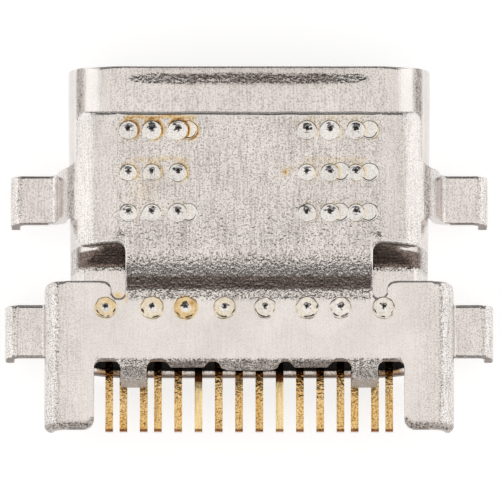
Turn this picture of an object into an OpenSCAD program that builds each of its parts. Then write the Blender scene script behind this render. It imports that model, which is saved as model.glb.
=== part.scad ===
// USB-C receptacle, mid-mount type, sixteen contacts.
// A drawn steel shell round the plug space, a stamped steel cover welded over it with four
// board ears, a two-part insulator with the tongue, a steel mid plate, two grounding plates
// on the tongue's root and sixteen gold-plated contacts.
// Frame: X across the width, Y out of the mouth, Z up, millimetres.
// The origin is the centre of the mouth, in the plane of the shell's front rim.

/* [Inner shell] */
// width of the plug opening
opening_w = 8.34; // [8.24:0.01:8.44]
// height of the plug opening
opening_h = 2.56; // [2.50:0.01:2.62]
// wall thickness of the inner shell
shell_t = 0.30; // [0.25:0.01:0.32]
// length of the inner shell, rim to rear edge
shell_len = 7.26; // [7.15:0.01:7.30]
// rounding of the rim's outer edge
rim_r = 0.12; // [0.08:0.01:0.14]
// lead-in chamfer inside the rim
lead_in = 0.12; // [0.05:0.01:0.14]
// distance behind the rim where the pressed-down roof becomes flat
press_y = 4.95; // [4.85:0.01:5.00]
// how far the rear part of the roof is pressed down
press_drop = 0.58; // [0.50:0.01:0.62]
// slope of the shell's own step, degrees
press_slope = 51; // [49:1:56]
// radius of the shell's upper step bend, outer face
press_r_top = 0.40; // [0.36:0.01:0.45]
// radius of the shell's lower step bend, outer face
press_r_low = 0.12; // [0.10:0.01:0.18]

/* [Outer cover sheet] */
// thickness of the cover sheet
cover_t = 0.25; // [0.22:0.01:0.28]
// sideways play between the cover's bends and the shell's round sides
wrap_gap = 0.02; // [0.015:0.005:0.03]
// angle the front panel wraps down over the shell's round corner, degrees
panel_wrap = 47; // [40:1:50]
// distance of the cover's front edge behind the rim
panel_front_y = 1.20; // [1.10:0.01:1.30]
// distance of the front panel's rear edge behind the rim
panel_rear_y = 4.50; // [4.45:0.01:4.55]
// corner radius of the front panel
panel_corner_r = 0.30; // [0.20:0.01:0.35]
// half width of the centre strip that joins the front panel to the rear plate
strip_hw = 3.04; // [2.98:0.01:3.08]
// fillet between the front panel and the centre strip
strip_fillet = 0.20; // [0.10:0.01:0.24]
// distance behind the rim where the cover's step starts
step_y = 4.63; // [4.58:0.01:4.66]
// slope of the cover's step, degrees
step_slope = 39; // [36:1:42]
// radius of the cover's upper step bend, outer face
step_r_top = 0.80; // [0.70:0.01:0.85]
// radius of the cover's lower step bend, outer face
step_r_low = 0.25; // [0.20:0.01:0.30]

/* [Rear plate] */
// half width of the rear plate over its side walls
plate_hw = 5.04; // [4.95:0.01:5.10]
// distance of the rear plate's front edge behind the rim
plate_front_y = 5.335; // [5.25:0.005:5.40]
// distance of the rear plate's rear edge, in the notches, behind the rim
plate_rear_y = 7.31; // [7.30:0.01:7.40]
// outer radius of the bend from the plate into its side walls
plate_bend_r = 0.40; // [0.32:0.01:0.45]
// radius of the plate's front corners
plate_corner_r = 0.18; // [0.10:0.01:0.25]
// height of the side walls' lower edge above the shell's middle plane
skirt_z = 0.55; // [0.35:0.01:0.70]
// width of the relief slot beside the centre strip
slot_w = 0.34; // [0.28:0.01:0.38]
// distance of the relief slot's round end behind the rim
slot_end_y = 5.77; // [5.70:0.01:5.80]
// rounding of the relief slot's mouth into the plate's front edge
slot_mouth_r = 0.20; // [0.12:0.01:0.22]

/* [Rear prongs, lips and tabs] */
// distance of the prongs' ends behind the rim
prong_end_y = 9.03; // [8.90:0.01:9.15]
// half distance between the prongs at the plate
prong_x = 3.81; // [3.75:0.01:3.86]
// rounding of the prongs' inner corners
prong_r = 0.25; // [0.15:0.01:0.32]
// outer radius of the bends into lips and tabs
lip_r = 0.33; // [0.30:0.01:0.36]
// distance of the lips' and tabs' bend lines behind the rim
lip_y = 7.36; // [7.34:0.01:7.38]
// distance of the tabs' bend lines behind the rim
tab_y = 7.45; // [7.42:0.01:7.48]
// turn of the two side lips, degrees
lip_turn = 25; // [18:1:32]
// turn of the middle lip, degrees
mid_lip_turn = 50; // [40:1:60]
// height of the tabs' lower ends above the shell's middle plane
tab_z = 0.05; // [0.00:0.01:0.15]
// centre of each tab from the middle
tab_x = 2.84; // [2.80:0.01:2.88]
// width of each tab
tab_w = 0.65; // [0.58:0.01:0.70]
// centre of each side lip from the middle
lip_x = 1.52; // [1.46:0.01:1.58]
// width of each side lip
lip_w = 0.88; // [0.80:0.01:0.94]
// width of the middle lip
mid_lip_w = 1.40; // [1.30:0.01:1.46]
// rounding of the notches between prongs, tabs and lips
notch_r = 0.18; // [0.10:0.01:0.20]

/* [Ears and board legs] */
// top-face radius of the bend from the front arms into their ears
ear_r = 0.15; // [0.12:0.01:0.18]
// top-face radius of the bend from the rear walls into their ears
rear_ear_r = 0.10; // [0.08:0.01:0.15]
// distance of the front ears' front edge behind the rim
front_ear_y = 2.42; // [2.35:0.01:2.50]
// width of the front ears along the mating axis
front_ear_w = 1.22; // [1.10:0.01:1.30]
// half distance over the front board legs
front_ear_x = 5.90; // [5.80:0.01:6.00]
// fillet where a front arm leaves the panel
arm_fillet = 0.28; // [0.18:0.01:0.34]
// distance of the rear ears' front edge behind the rim
rear_ear_y = 5.66; // [5.60:0.01:5.72]
// width of the rear ears along the mating axis
rear_ear_w = 1.33; // [1.20:0.01:1.42]
// half distance over the rear board legs
rear_ear_x = 6.03; // [5.95:0.01:6.10]
// inner radius of the bend from an ear into its board leg
leg_r = 0.08; // [0.05:0.01:0.12]
// length of a board leg below the board plane
leg_len = 0.78; // [0.60:0.01:0.95]
// chamfer at the tip of a board leg
leg_tip = 0.18; // [0.10:0.01:0.25]

/* [Welds] */
// outer diameter of a weld's raised bead
weld_d = 0.52; // [0.44:0.01:0.56]
// height of a weld's bead over the sheet
weld_h = 0.03; // [0.02:0.005:0.05]
// diameter of the small cone in the middle of a weld
peak_d = 0.20; // [0.16:0.01:0.24]
// height of that cone over the bead
peak_h = 0.04; // [0.02:0.005:0.05]
// spacing of the welds in a row of the front panel
weld_pitch = 0.60; // [0.58:0.01:0.62]
// spacing of the weld rows of the front panel
weld_row = 1.03; // [0.98:0.01:1.06]
// distance of the first weld row behind the rim
weld_y = 1.68; // [1.62:0.01:1.72]
// middle of each group of welds from the middle of the front panel
weld_group_x = 2.195; // [2.15:0.005:2.22]
// how far both groups sit to the left of that
weld_shift = 0.18; // [0.10:0.01:0.20]
// distance of the rear plate's weld row behind the rim
plate_weld_y = 6.04; // [6.03:0.01:6.10]

/* [Insulator and tongue] */
// distance of the tongue's tip behind the rim
tongue_tip_y = 0.75; // [0.65:0.01:0.85]
// thickness of the tongue
tongue_t = 0.70; // [0.66:0.01:0.74]
// width of the tongue over the mid plate's edges
tongue_w = 6.69; // [6.60:0.01:6.78]
// how far the mid plate's edges stand out of the insulator at each side
plate_proud = 0.06; // [0.04:0.01:0.10]
// chamfer at the tongue's tip
tip_chamfer = 0.16; // [0.10:0.01:0.20]
// distance of the thick root's front face behind the rim
root_y = 3.90; // [3.80:0.01:4.00]
// thickness of the tongue's root
root_t = 1.16; // [1.08:0.01:1.20]
// distance of the base block's front face behind the rim
base_y = 5.06; // [5.05:0.01:5.15]
// how far the base block's rear face lies inside the shell's rear edge
base_inset = 0.13; // [0.08:0.01:0.18]
// gap between the base block's round sides and the shell, at each side
base_gap = 0.05; // [0.03:0.01:0.08]

/* [Mid plate and grounding plates] */
// thickness of the mid plate
mid_t = 0.15; // [0.12:0.01:0.17]
// distance of the mid plate's front edge behind the tongue's tip
mid_inset = 0.25; // [0.22:0.01:0.32]
// distance of the mid plate's rear edge behind the rim
mid_end_y = 6.00; // [5.80:0.01:6.05]
// depth of the latch notches in the mid plate's edges
latch_depth = 0.22; // [0.15:0.01:0.28]
// distance of the latch notches behind the rim
latch_y = 1.95; // [1.85:0.01:2.05]
// length of the latch notches
latch_len = 1.10; // [0.95:0.01:1.25]
// thickness of the grounding plates
pad_t = 0.10; // [0.08:0.01:0.12]
// width of the grounding plates
pad_w = 5.80; // [5.60:0.01:6.00]
// distance of the grounding plates' front edge behind the rim
pad_y = 4.02; // [4.00:0.01:4.10]

/* [Contacts] */
// pitch of the contacts in the tongue
pitch = 0.50; // [0.49:0.005:0.51]
// width of a contact in the tongue
blade_w = 0.25; // [0.22:0.01:0.27]
// thickness of the contacts
contact_t = 0.15; // [0.12:0.01:0.16]
// width of a tail
tail_w = 0.19; // [0.17:0.01:0.21]
// distance of the contacts' front ends behind the tongue's tip
blade_inset = 0.40; // [0.36:0.01:0.45]
// distance of the ground and supply contacts' front ends behind the tongue's tip
long_blade_inset = 0.34; // [0.32:0.01:0.36]
// distance behind the rim where the contacts start to spread
spread_y = 5.25; // [5.20:0.01:5.35]
// distance behind the rim where the contacts run straight again
straight_y = 6.20; // [6.10:0.01:6.25]
// distance behind the rim where the contacts change level
drop_y = 6.45; // [6.40:0.01:6.55]
// how far the tails' ends stop short of the prongs' ends
tail_short = 0.20; // [0.10:0.01:0.26]
// length by which the outer tails stand off the pitch, once for each wider gap further in
pair_step = 0.35; // [0.31:0.01:0.36]

/* [Hidden] */
$fn = 48;
shell_r = opening_h / 2 + shell_t;
bore_r = opening_h / 2;
end_x = opening_w / 2 - bore_r;
low_z = shell_r - press_drop;
bend_x = end_x + wrap_gap;
wrap_r = shell_r;
arm_x = bend_x + wrap_r + cover_t;
panel_z = shell_r + cover_t;
plate_z = low_z + cover_t;
board_z = -ear_r - cover_t;
ear_z = board_z + cover_t;
leg_z = board_z - leg_len;
slot_x = strip_hw + slot_w / 2;
slot_r = slot_w / 2;
join_y = slot_end_y + 0.07;
strip_end_y = join_y + 0.05;
big = 20;
lap = 0.002;
base_rear_y = shell_len - base_inset;
tail_end_y = prong_end_y - tail_short;
ins_hw = tongue_w / 2 - plate_proud;
blade_z = tongue_t / 2 - contact_t;
steel = [0.80, 0.78, 0.76];
dark_steel = [0.62, 0.61, 0.60];
black = [0.09, 0.09, 0.10];
gold = [0.83, 0.62, 0.27];

// the run of an S-shaped step measured on its outer face
function s_len(drop, a, r1, r2) = (drop - (r1 + r2) * (1 - cos(a))) / sin(a);
function s_run(drop, a, r1, r2) = (r1 + r2) * sin(a) + s_len(drop, a, r1, r2) * cos(a);
step_run = s_run(press_drop, step_slope, step_r_top, step_r_low);

// contacts: name, place in the tongue in pitches, upper or lower row, tail place in pitches,
// pair steps added to the tail place, long or short
CONTACTS = [
    ["a1", 5.5, 1, 5.5, 2, 1], ["a4", 2.5, 1, 4.5, 1, 1], ["a5", 1.5, 1, 2.5, 0, 0],
    ["a6", 0.5, 1, 0.5, 0, 0], ["a7", -0.5, 1, -0.5, 0, 0], ["a8", -1.5, 1, -2.5, 0, 0],
    ["a9", -2.5, 1, -4.5, -1, 1], ["a12", -5.5, 1, -5.5, -2, 1],
    ["b1", -5.5, -1, -5.5, -1, 1], ["b4", -2.5, -1, -4.5, 0, 1], ["b5", -1.5, -1, -3.5, 0, 0],
    ["b6", -0.5, -1, -1.5, 0, 0], ["b7", 0.5, -1, 1.5, 0, 0], ["b8", 1.5, -1, 3.5, 0, 0],
    ["b9", 2.5, -1, 4.5, 0, 1], ["b12", 5.5, -1, 5.5, 1, 1]
];

// a section drawn in X and Z, run from y0 back to y1
module along_y(y0, y1) {
    translate([0, -y0, 0]) rotate([90, 0, 0]) linear_extrude(y1 - y0) children();
}

// a section drawn in Y and Z, run from x0 to x1
module along_x(x0, x1) {
    translate([x0, 0, 0]) rotate([90, 0, 90]) linear_extrude(x1 - x0) children();
}

module both_sides() {
    children();
    mirror([1, 0, 0]) children();
}

module quarter_ring(x, z, r0, r1, sx, sz) {
    translate([x, z]) intersection() {
        difference() {
            circle(r1);
            circle(r0);
        }
        translate([sx > 0 ? 0 : -r1, sz > 0 ? 0 : -r1]) square(r1);
    }
}

// part of a ring between two directions less than a half turn apart
module ring_part(x, z, r0, r1, a0, a1) {
    f = 3 * r1;
    translate([x, z]) intersection() {
        difference() {
            circle(r1);
            circle(r0);
        }
        polygon([[0, 0], [f * cos(a0), f * sin(a0)], [f * cos(a1), f * sin(a1)]]);
    }
}

// sheet that steps down going back, drawn in Y and Z; the outer face starts at height z
module s_sheet(y, z, drop, a, r1, r2, t) {
    run = s_run(drop, a, r1, r2);
    ring_part(-y, z - r1, r1 - t, r1, 90, 90 + a);
    translate([-y - r1 * sin(a), z - r1 + r1 * cos(a)]) rotate(180 + a)
        translate([-lap, 0]) square([s_len(drop, a, r1, r2) + 2 * lap, t]);
    ring_part(-y - run, z - drop + r2, r2, r2 + t, 270, 270 + a);
}

// everything under the roof of the shell or of its bore, drawn in Y and Z;
// the upper bend meets the flat roof at a slight crease
module under_roof(top, r1, r2, crease) {
    a = press_slope;
    low = top - press_drop;
    slope = (press_drop - r1 * (cos(crease) - cos(a)) - r2 * (1 - cos(a))) / sin(a);
    y0 = press_y - r1 * (sin(a) - sin(crease)) - slope * cos(a) - r2 * sin(a);
    cy = -y0 + r1 * sin(crease);
    cz = top - r1 * cos(crease);
    translate([-y0, -3]) square([y0 + 3, 6]);
    difference() {
        union() {
            translate([-press_y - 4, -3]) square([4 + press_y - y0, 3 + low]);
            ring_part(cy, cz, 0, r1, 90 + crease, 90 + a);
            polygon([
                [-y0, low - 0.1], [-y0, top], [cy, cz],
                [cy - r1 * sin(a), cz + r1 * cos(a)],
                [-press_y + r2 * sin(a), low + r2 * (1 - cos(a))],
                [-press_y, low], [-press_y, low - 0.1]
            ]);
        }
        translate([-press_y, low + r2]) circle(r2);
    }
}

// ---- inner shell ----

// half section with a rounded front edge
module round_half(r, y0, y1, c) {
    translate([0, -y1]) square([r, y1 - y0 - c]);
    translate([0, -y0 - c]) square([r - c, c]);
    translate([r - c, -y0 - c]) intersection() {
        circle(c);
        square(c);
    }
}

// round-ended body made of two half turns and a straight middle
module racetrack(x) {
    both_sides() translate([x, 0, 0]) rotate([-90, 0, 0]) rotate([0, 0, -90])
        rotate_extrude(angle = 180, $fn = 96) children();
    translate([x, 0, 0]) rotate([0, -90, 0]) linear_extrude(2 * x) {
        children();
        mirror([1, 0]) children();
    }
}

module inner_shell() {
    color(steel) difference() {
        intersection() {
            racetrack(end_x) round_half(shell_r, 0, shell_len, rim_r);
            along_x(-big / 2, big / 2) under_roof(shell_r, press_r_top, press_r_low, 10);
        }
        intersection() {
            racetrack(end_x) union() {
                translate([0, -shell_len - 1]) square([bore_r, shell_len + 2]);
                polygon([[bore_r - 0.1, -lead_in - 0.1], [bore_r, -lead_in],
                    [bore_r + lead_in, 0], [bore_r + lead_in, 1], [bore_r - 0.1, 1]]);
            }
            along_x(-big / 2, big / 2)
                under_roof(bore_r, press_r_top - shell_t, press_r_low + shell_t, 22);
        }
    }
}

// ---- outer cover ----

module arm_section() {
    ear_start = arm_x + ear_r;
    ear_end = front_ear_x - cover_t - leg_r;
    quarter_ring(bend_x, 0, wrap_r, wrap_r + cover_t, 1, 1);
    quarter_ring(ear_start, 0, ear_r, ear_r + cover_t, -1, -1);
    translate([ear_start, board_z]) square([ear_end - ear_start, cover_t]);
    leg_section(front_ear_x);
}

module leg_section(x) {
    bend_c = x - cover_t - leg_r;
    quarter_ring(bend_c, board_z - leg_r, leg_r, leg_r + cover_t, 1, 1);
    translate([x - cover_t, leg_z]) square([cover_t, board_z - leg_r - leg_z]);
}

module panel_section() {
    translate([0, shell_r]) square([bend_x, cover_t]);
    ring_part(bend_x, 0, wrap_r, wrap_r + cover_t, 90 - panel_wrap, 90);
}

module wall_section(z) {
    c = plate_hw - plate_bend_r;
    translate([0, low_z]) square([c, cover_t]);
    quarter_ring(c, plate_z - plate_bend_r, plate_bend_r - cover_t, plate_bend_r, 1, 1);
    translate([plate_hw - cover_t, z]) square([cover_t, plate_z - plate_bend_r - z]);
}

module rear_ear_section() {
    ear_start = plate_hw + rear_ear_r;
    ear_end = rear_ear_x - cover_t - leg_r;
    wall_section(ear_z + rear_ear_r);
    quarter_ring(ear_start, ear_z + rear_ear_r, rear_ear_r, rear_ear_r + cover_t, -1, -1);
    translate([ear_start, board_z]) square([ear_end - ear_start, cover_t]);
    leg_section(rear_ear_x);
}

// a square corner patch left over when a quarter disc is taken from it
module corner_patch(x, y, r, sx, sy) {
    translate([x, y]) difference() {
        translate([sx > 0 ? 0 : -r, sy > 0 ? 0 : -r]) square(r);
        translate([sx * r, sy * r]) circle(r);
    }
}

module panel() {
    edge_x = bend_x + (wrap_r + cover_t) * sin(panel_wrap);
    difference() {
        along_y(panel_front_y, panel_rear_y) {
            panel_section();
            mirror([1, 0]) panel_section();
        }
        both_sides() {
            translate([0, 0, -1]) linear_extrude(4)
                corner_patch(edge_x + 0.01, -panel_front_y + 0.01, panel_corner_r, -1, -1);
            translate([0, 0, -1]) linear_extrude(4)
                corner_patch(edge_x + 0.01, -panel_rear_y - 0.01, panel_corner_r, -1, 1);
        }
    }
}

// one front arm with its ear, its board leg and the fillets where it leaves the panel
module front_arm() {
    edge_x = bend_x + (wrap_r + cover_t) * sin(panel_wrap);
    y0 = front_ear_y;
    y1 = front_ear_y + front_ear_w;
    difference() {
        along_y(y0, y1) arm_section();
        leg_tip_cut(front_ear_x, y0, y1);
    }
    intersection() {
        along_y(y0 - arm_fillet, y1 + arm_fillet)
            quarter_ring(bend_x, 0, wrap_r, wrap_r + cover_t, 1, 1);
        translate([0, 0, -1]) linear_extrude(4) union() {
            corner_patch(edge_x - 0.03, -y0, arm_fillet, 1, 1);
            corner_patch(edge_x - 0.03, -y1, arm_fillet, 1, -1);
        }
    }
}

module leg_tip_cut(x, y0, y1) {
    along_x(x - cover_t - 0.1, x + 0.1) union() {
        polygon([[-y0 + 0.1, leg_z - 0.1], [-y0 - leg_tip, leg_z - 0.1],
            [-y0 - leg_tip, leg_z], [-y0, leg_z + leg_tip], [-y0 + 0.1, leg_z + leg_tip]]);
        polygon([[-y1 - 0.1, leg_z - 0.1], [-y1 + leg_tip, leg_z - 0.1],
            [-y1 + leg_tip, leg_z], [-y1, leg_z + leg_tip], [-y1 - 0.1, leg_z + leg_tip]]);
    }
}

// centre strip with the cover's step
module strip() {
    intersection() {
        along_x(-slot_x, slot_x) union() {
            translate([-step_y, shell_r]) square([step_y - panel_rear_y, cover_t]);
            s_sheet(step_y, panel_z, press_drop, step_slope, step_r_top, step_r_low, cover_t);
            translate([-strip_end_y, low_z])
                square([strip_end_y - step_y - step_run + lap, cover_t]);
        }
        translate([0, 0, 0.5]) linear_extrude(2) difference() {
            union() {
                translate([-strip_hw, -strip_end_y]) square([2 * strip_hw, strip_end_y]);
                translate([-slot_x, -strip_end_y])
                    square([2 * slot_x, strip_end_y - slot_end_y + slot_r]);
                both_sides() corner_patch(strip_hw, -panel_rear_y, strip_fillet, 1, -1);
            }
            slot_holes();
        }
    }
}

module slot_holes() {
    both_sides() {
        translate([slot_x, -slot_end_y + slot_r]) circle(slot_r);
        translate([strip_hw, -slot_end_y + slot_r]) square([slot_w, 0.6]);
    }
}

// outline of the rear plate with its prongs, seen from above
module plate_plan() {
    difference() {
        translate([-plate_hw - 2, -prong_end_y])
            square([2 * plate_hw + 4, prong_end_y - plate_front_y]);
        translate([-slot_x, -join_y]) square([2 * slot_x, 2]);
        slot_holes();
        translate([-prong_x, -prong_end_y - 1])
            square([2 * prong_x, prong_end_y + 1 - plate_rear_y]);
        both_sides() {
            corner_patch(plate_hw + 0.01, -plate_front_y + 0.01, plate_corner_r, -1, -1);
            corner_patch(slot_x + slot_r - 0.01, -plate_front_y + 0.01, slot_mouth_r, 1, -1);
            corner_patch(plate_hw + 0.01, -prong_end_y - 0.01, plate_corner_r, -1, 1);
            corner_patch(prong_x - 0.01, -prong_end_y - 0.01, prong_r, 1, 1);
        }
    }
    both_sides() corner_patch(prong_x + lap, -plate_rear_y + lap, notch_r, -1, -1);
}

module rear_plate() {
    intersection() {
        along_y(plate_front_y, prong_end_y) {
            wall_section(skirt_z);
            mirror([1, 0]) wall_section(skirt_z);
        }
        translate([0, 0, -1]) linear_extrude(4) plate_plan();
    }
    both_sides() difference() {
        along_y(rear_ear_y, rear_ear_y + rear_ear_w)
            intersection() {
                rear_ear_section();
                translate([plate_hw - cover_t, -3]) square([2, 3 + plate_z - plate_bend_r]);
            }
        leg_tip_cut(rear_ear_x, rear_ear_y, rear_ear_y + rear_ear_w);
    }
}

// a piece of the rear edge turned down, drawn in Y and Z
module turned_edge(y, turn) {
    translate([-y, low_z]) square([y - plate_rear_y + 0.05, cover_t]);
    ring_part(-y, plate_z - lip_r, lip_r - cover_t, lip_r, 90, 90 + turn);
}

// outline of a lip or tab seen from above, its root rounded into the plate
module edge_plan(x, w) {
    side = w / 2 + notch_r;
    difference() {
        translate([x - side, -prong_end_y]) square([2 * side, prong_end_y - plate_rear_y + 0.05]);
        for (s = [-1, 1]) {
            translate([x + s * side, -plate_rear_y - notch_r]) circle(notch_r);
            translate([x + s * side - notch_r, -prong_end_y - 1])
                square([2 * notch_r, prong_end_y + 1 - plate_rear_y - notch_r]);
        }
    }
}

// a lip or tab: the turned edge, cut to its outline
module edge_piece(x, w) {
    intersection() {
        along_x(x - w / 2 - notch_r - 0.1, x + w / 2 + notch_r + 0.1) children();
        translate([0, 0, -1]) linear_extrude(4) edge_plan(x, w);
    }
}

module rear_edge() {
    edge_piece(0, mid_lip_w) turned_edge(lip_y, mid_lip_turn);
    both_sides() {
        edge_piece(lip_x, lip_w) turned_edge(lip_y, lip_turn);
        edge_piece(tab_x, tab_w) {
            turned_edge(tab_y, 90);
            translate([-tab_y - lip_r, tab_z])
                square([cover_t, plate_z - lip_r - tab_z + lap]);
        }
    }
}

// places of the welds: X, Y and the height of the sheet's face
PANEL_WELDS = [
    for (s = [-1, 1], i = [-1, 0, 1], j = [0, 1, 2])
        [s * weld_group_x - weld_shift + i * weld_pitch, -weld_y - j * weld_row, panel_z]
];
// places across the rear plate, as shares of its half width
PLATE_WELDS = [
    for (k = [-0.704, -0.476, -0.311, -0.121, 0.077, 0.282, 0.446, 0.657])
        [k * plate_hw, -plate_weld_y, plate_z]
];

module outer_cover() {
    bead_r = (weld_d * weld_d / 4 + weld_h * weld_h) / (2 * weld_h);
    welds = concat(PANEL_WELDS, PLATE_WELDS);
    color(steel) {
        panel();
        both_sides() front_arm();
        strip();
        rear_plate();
        rear_edge();
        for (w = welds) translate(w) {
            translate([0, 0, -0.1]) rotate_extrude($fn = 24) intersection() {
                translate([0, 0.1 + weld_h - bead_r]) circle(bead_r, $fn = 180);
                square([weld_d / 2, 1]);
            }
            translate([0, 0, -0.05])
                cylinder(weld_h + peak_h + 0.05, peak_d / 2 * (1 + 0.05 / (weld_h + peak_h)), 0.01, $fn = 24);
        }
    }
}

// ---- contacts ----

module contact_shape(c, extra) {
    s = c[2];
    x0 = c[1] * pitch;
    x1 = c[3] * pitch + c[4] * pair_step;
    z0 = s > 0 ? blade_z : -blade_z - contact_t;
    tip = tongue_tip_y + (c[5] > 0 ? long_blade_inset : blade_inset);
    top = s > 0 ? z0 + contact_t + extra : z0 + contact_t;
    low = s > 0 ? z0 : z0 - extra;
    // blade in the tongue
    translate([x0 - blade_w / 2, -spread_y, low])
        cube([blade_w, spread_y - tip, top - low]);
    // spread inside the base block
    translate([0, 0, z0]) linear_extrude(contact_t) polygon([
        [x0 - blade_w / 2, -spread_y], [x0 + blade_w / 2, -spread_y],
        [x1 + tail_w / 2, -straight_y], [x1 + tail_w / 2, -drop_y],
        [x1 - tail_w / 2, -drop_y], [x1 - tail_w / 2, -straight_y]
    ]);
    // change of level, then the tail on the board plane
    lo = min(z0, board_z);
    translate([x1 - tail_w / 2, -drop_y - contact_t, lo])
        cube([tail_w, contact_t, z0 + contact_t - lo]);
    translate([x1 - tail_w / 2, -tail_end_y, board_z])
        cube([tail_w, tail_end_y - drop_y - contact_t, contact_t]);
}

module contact(i) {
    color(gold) contact_shape(CONTACTS[i], 0);
}

module all_contacts() {
    for (c = CONTACTS) contact_shape(c, 0.2);
}

// ---- insulator ----

module tongue_profile() {
    h = tongue_t / 2;
    polygon([[-root_y - 0.1, 0], [-root_y - 0.1, h], [-tongue_tip_y - tip_chamfer, h],
        [-tongue_tip_y, h - tip_chamfer], [-tongue_tip_y, 0]]);
}

module root_profile() {
    h = root_t / 2;
    polygon([[-base_y - 0.1, 0], [-base_y - 0.1, h], [-root_y - 0.08, h],
        [-root_y, h - 0.08], [-root_y, 0]]);
}

// one half of the insulator; the lower half is the same piece turned over, with a deeper base
module insulator(s) {
    difference() {
        union() {
            mirror([0, 0, s > 0 ? 0 : 1]) {
                along_x(-ins_hw, ins_hw) tongue_profile();
                along_x(-ins_hw, ins_hw) root_profile();
            }
            intersection() {
                along_y(base_y, base_rear_y) union() {
                    translate([-end_x + base_gap, -bore_r])
                        square([2 * (end_x - base_gap), 2 * bore_r]);
                    translate([end_x - base_gap, 0]) circle(bore_r, $fn = 96);
                    translate([-end_x + base_gap, 0]) circle(bore_r, $fn = 96);
                }
                translate([-big / 2, -big, s > 0 ? 0 : -3])
                    cube([big, big, s > 0 ? low_z - shell_t : 3]);
            }
        }
        mid_plate_shape();
        ground_plate_shape(s);
        all_contacts();
    }
}

module upper_insulator() {
    color(black) insulator(1);
}

module lower_insulator() {
    color(black) insulator(-1);
}

// ---- mid plate and grounding plates ----

module mid_plate_shape() {
    translate([0, 0, -mid_t / 2]) linear_extrude(mid_t) difference() {
        translate([-tongue_w / 2, -mid_end_y])
            square([tongue_w, mid_end_y - tongue_tip_y - mid_inset]);
        both_sides() translate([tongue_w / 2 - latch_depth, -latch_y - latch_len])
            square([1, latch_len]);
    }
}

module mid_plate() {
    color(dark_steel) mid_plate_shape();
}

module ground_plate_shape(s) {
    mirror([0, 0, s > 0 ? 0 : 1]) translate([-pad_w / 2, -base_y, root_t / 2 - pad_t])
        cube([pad_w, base_y - pad_y, pad_t]);
}

module upper_ground_plate() {
    color(steel) ground_plate_shape(1);
}

module lower_ground_plate() {
    color(steel) ground_plate_shape(-1);
}

inner_shell();
outer_cover();
upper_insulator();
lower_insulator();
mid_plate();
upper_ground_plate();
lower_ground_plate();
for (i = [0:len(CONTACTS) - 1])
    contact(i);
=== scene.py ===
import math
from collections import namedtuple

import bmesh
import bpy
import numpy as np
from mathutils import Matrix, Vector, noise


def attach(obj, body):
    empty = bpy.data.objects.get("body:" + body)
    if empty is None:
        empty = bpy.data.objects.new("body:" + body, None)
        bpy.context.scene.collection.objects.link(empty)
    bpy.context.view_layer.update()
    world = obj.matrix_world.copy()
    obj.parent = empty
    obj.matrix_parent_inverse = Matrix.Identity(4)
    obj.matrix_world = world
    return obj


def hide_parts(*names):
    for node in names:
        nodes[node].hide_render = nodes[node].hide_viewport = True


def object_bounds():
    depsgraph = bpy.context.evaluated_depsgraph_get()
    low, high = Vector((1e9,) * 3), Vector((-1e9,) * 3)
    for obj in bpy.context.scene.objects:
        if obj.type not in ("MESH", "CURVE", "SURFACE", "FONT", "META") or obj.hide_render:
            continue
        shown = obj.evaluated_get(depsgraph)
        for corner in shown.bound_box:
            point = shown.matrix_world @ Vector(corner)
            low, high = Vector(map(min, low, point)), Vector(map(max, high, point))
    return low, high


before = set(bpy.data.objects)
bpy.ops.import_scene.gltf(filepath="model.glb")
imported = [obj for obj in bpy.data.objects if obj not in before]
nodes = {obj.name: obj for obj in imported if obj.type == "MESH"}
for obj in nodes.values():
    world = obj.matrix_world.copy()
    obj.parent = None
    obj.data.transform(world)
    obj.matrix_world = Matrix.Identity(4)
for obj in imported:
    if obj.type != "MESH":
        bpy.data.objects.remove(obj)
cad_box = [list(c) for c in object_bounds()]

# ---------------------------------------------------------------- sizes in millimetres, as in the CAD source
# Distances called _Y, FRONT, REAR or END are measured backwards from the rim, so y is minus the distance.
# inner shell
SHELL_R, BORE_R, END_X = 1.58, 1.28, 2.89
SHELL_T = SHELL_R - BORE_R
SHELL_LEN = 7.26
PRESS_Y, DROP, PRESS_SLOPE = 4.95, 0.58, 51
PRESS_R_TOP, PRESS_R_LOW = 0.40, 0.12
LOW_Z = SHELL_R - DROP
# cover sheet: thickness, middle of its side bends, heights of its upper faces
T = 0.25
BEND_X = END_X + 0.02
PANEL_Z, PLATE_Z = SHELL_R + T, LOW_Z + T
# front panel
PANEL_FRONT, PANEL_REAR = 1.20, 4.50
PANEL_CORNER_R = 0.30
WRAP = math.radians(47)
EDGE_X = BEND_X + (SHELL_R + T) * math.sin(WRAP)
# centre strip, its step, and the slots beside it
STRIP_HW, STRIP_FILLET, STRIP_FRONT, STRIP_END = 3.04, 0.20, 4.30, 5.95
STEP_Y, STEP_SLOPE, STEP_R_TOP, STEP_R_LOW = 4.63, 39, 0.80, 0.25
SLOT_W, SLOT_END, SLOT_MOUTH_R = 0.34, 5.77, 0.22
SLOT_X, SLOT_R = STRIP_HW + SLOT_W / 2, SLOT_W / 2
# rear plate and prongs
PLATE_HW, PLATE_FRONT, PLATE_REAR = 5.04, 5.335, 7.31
PLATE_CORNER_R, SKIRT_Z, SKIRT_FILLET = 0.18, 0.55, 0.2
PRONG_X, PRONG_END, PRONG_TIP_R = 3.81, 9.03, 0.25
NOTCH_R = 0.18
# turned lips and tabs of the rear edge: middle and width, and where their sheet starts inside the plate
LIP_X, LIP_W, MIDDLE_LIP_W = 1.52, 0.88, 1.40
TAB_X, TAB_W = 2.84, 0.65
LIP_FRONT = 7.15
# ears and board legs
FRONT_EAR, REAR_EAR = (2.42, 3.64), (5.66, 6.99)
FRONT_LEG_X, REAR_LEG_X = 5.90, 6.03
EAR_Z = -0.15
BOARD_Z = EAR_Z - T
LEG_Z = BOARD_Z - 0.78
ARM_X = BEND_X + SHELL_R + T
ARM_START, ARM_FILLET = 3.4, 0.28

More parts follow.
